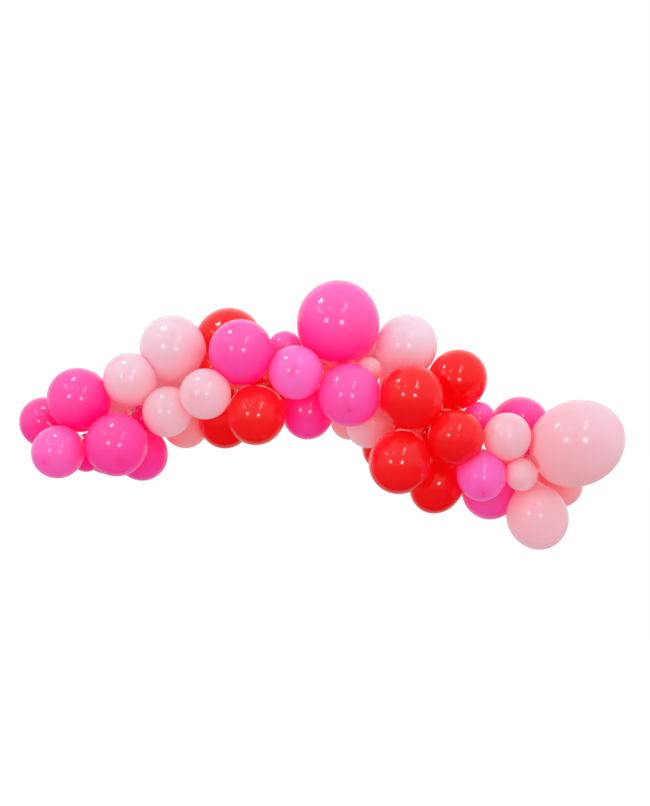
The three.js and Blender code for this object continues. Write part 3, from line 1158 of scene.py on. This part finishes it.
@dataclass
class Studio:
    """A plain bright room: pale floor, white surroundings, soft lamps and the camera.

    Attributes:
        floor_glow: How much light the floor gives of its own.
        backdrop: Brightness of the white behind the garland.
        lens: The camera's focal length in millimetres.
        bounces: How often soft light is passed on.
    """

    floor_level: float = -2.2
    floor_radius: float = 7.0
    floor_glow: float = 0.30
    backdrop: float = 1.0
    camera_place: tuple[float, float, float] = (0.021, -6.0, -0.118)
    lens: float = 63.8
    bounces: int = 8

    FLOOR_CORNERS = 96
    FLOOR_CLOUDS = 0.8
    FLOOR_TINTS = ((0.93, 0.93, 0.93), (0.96, 0.96, 0.96))

    LAMPS = (
        Lamp("overhead_lamp", (-1.3, -0.55, 1.86), (-0.1, 0.0, -0.1), (0.36, 0.36), 21.0),
        Lamp("low_left_lamp", (-3.1, -4.95, 0.75), (0.0, 0.0, -0.1), (0.68, 0.68), 26.0),
        Lamp("low_right_lamp", (1.1, -6.0, 0.25), (0.0, 0.0, -0.1), (0.72, 0.72), 28.0),
        Lamp("small_high_lamp", (-1.75, -3.7, 2.95), (0.0, 0.0, -0.1), (0.30, 0.30), 16.0),
        Lamp("right_tube", (1.2, -2.9, 2.5), (0.2, 0.0, 0.0), (0.24, 2.1), 11.0),
        Lamp("left_tube", (-2.6, -1.65, 1.8), (-0.4, 0.0, 0.0), (0.20, 1.6), 5.5),
    )

    # Brightness of the white room from straight down to straight up, as shares of the way
    # and brightness: as it lights the balloons, and as they mirror it
    SOFT_LIGHT = ((0.0, 1.04), (0.5, 1.18), (1.0, 1.18))
    MIRRORED = ((0.0, 0.0), (0.36, 0.04), (0.5, 0.34), (0.66, 0.40), (0.84, 0.54))
    MIRRORED_BEHIND = ((0.70, 0.0), (0.87, 0.40))

    def build(self) -> None:
        """Builds the room."""
        self.build_floor()
        scene = bpy.context.scene
        scene.world = self.room()
        scene.view_settings.view_transform = "Standard"
        scene.cycles.diffuse_bounces = self.bounces
        for lamp in self.LAMPS:
            lamp.build()
        camera = bpy.data.objects.new("camera", bpy.data.cameras.new("camera"))
        camera.data.lens = self.lens
        camera.location = self.camera_place
        camera.rotation_euler = (math.radians(90), 0.0, 0.0)
        scene.collection.objects.link(camera)
        scene.camera = camera

    def room(self) -> World:
        """Makes the white surroundings: a backdrop, soft light, and what the gloss mirrors.

        Returns:
            The world.
        """
        world = bpy.data.worlds.new("white_room")
        world.use_nodes = True
        tree = world.node_tree
        tree.nodes.clear()
        direction = add_node(tree, "ShaderNodeTexCoord").outputs["Generated"]
        split = add_node(tree, "ShaderNodeSeparateXYZ", Vector=direction)
        backdrop = add_node(tree, "ShaderNodeBackground", Color=WHITE, Strength=self.backdrop)
        soft = self.shine(tree, self.SOFT_LIGHT, split.outputs["Z"])
        front = self.shine(tree, self.MIRRORED, split.outputs["Z"])
        behind = self.shine(tree, self.MIRRORED_BEHIND, split.outputs["Y"])
        mirrored = add_node(tree, "ShaderNodeAddShader")
        tree.links.new(front, mirrored.inputs[0])
        tree.links.new(behind, mirrored.inputs[1])
        path = add_node(tree, "ShaderNodeLightPath")
        unseen = self.choose(tree, path.outputs["Is Glossy Ray"], soft, mirrored.outputs[0])
        seen = self.choose(tree, path.outputs["Is Camera Ray"], unseen, backdrop.outputs[0])
        add_node(tree, "ShaderNodeOutputWorld", Surface=seen)
        return world

    @staticmethod
    def shine(tree: NodeTree, stops: tuple[tuple[float, float], ...],
              source: NodeSocket) -> NodeSocket:
        """Adds white light whose brightness follows one part of the direction.

        Args:
            tree: The world's nodes.
            stops: Shares of the way from -1 to 1, and the brightness there.
            source: The part of the direction.

        Returns:
            The light.
        """
        peak = max(brightness for _, brightness in stops)
        share = add_node(tree, "ShaderNodeMapRange", From_Min=-1.0, Value=source).outputs["Result"]
        ramp = add_node(tree, "ShaderNodeValToRGB", Fac=share)
        ramp.color_ramp.interpolation = "EASE"
        while len(ramp.color_ramp.elements) < len(stops):
            ramp.color_ramp.elements.new(1.0)
        for element, (place, brightness) in zip(ramp.color_ramp.elements, stops):
            element.position = place
            element.color = (*([brightness / peak] * 3), 1.0)
        light = add_node(tree, "ShaderNodeBackground", Strength=peak, Color=ramp.outputs["Color"])
        return light.outputs[0]

    @staticmethod
    def choose(tree: NodeTree, test: NodeSocket, otherwise: NodeSocket,
               where_true: NodeSocket) -> NodeSocket:
        """Picks one of two lights for each ray.

        Args:
            tree: The world's nodes.
            test: 1 or 0 for each ray.
            otherwise, where_true: The lights where the test gives 0 and 1.

        Returns:
            The picked light.
        """
        mix = add_node(tree, "ShaderNodeMixShader", Fac=test)
        tree.links.new(otherwise, mix.inputs[1])
        tree.links.new(where_true, mix.inputs[2])
        return mix.outputs[0]

    def build_floor(self) -> None:
        """Lays the pale floor."""
        turn = np.linspace(0.0, 2 * math.pi, self.FLOOR_CORNERS, endpoint=False)
        rim = self.floor_radius * np.stack((np.cos(turn), np.sin(turn), 0 * turn), axis=1)
        rim[:, 2] = self.floor_level
        floor = make_object("floor", rim, [tuple(range(self.FLOOR_CORNERS))])
        board = Board("pale_floor")
        tint = board.blend(board.noise(self.FLOOR_CLOUDS), *self.FLOOR_TINTS)
        board.dress(
            Base_Color=tint, Roughness=0.7, Emission_Color=WHITE, Emission_Strength=self.floor_glow)
        floor.data.materials.append(board.material)
        floor.visible_glossy = False
        floor.visible_diffuse = False


def main() -> None:
    """Builds the garland and the room."""
    logging.basicConfig(level=logging.INFO)
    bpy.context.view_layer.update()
    Garland.from_table().build()
    Studio().build()


if __name__ == "__main__":
    main()
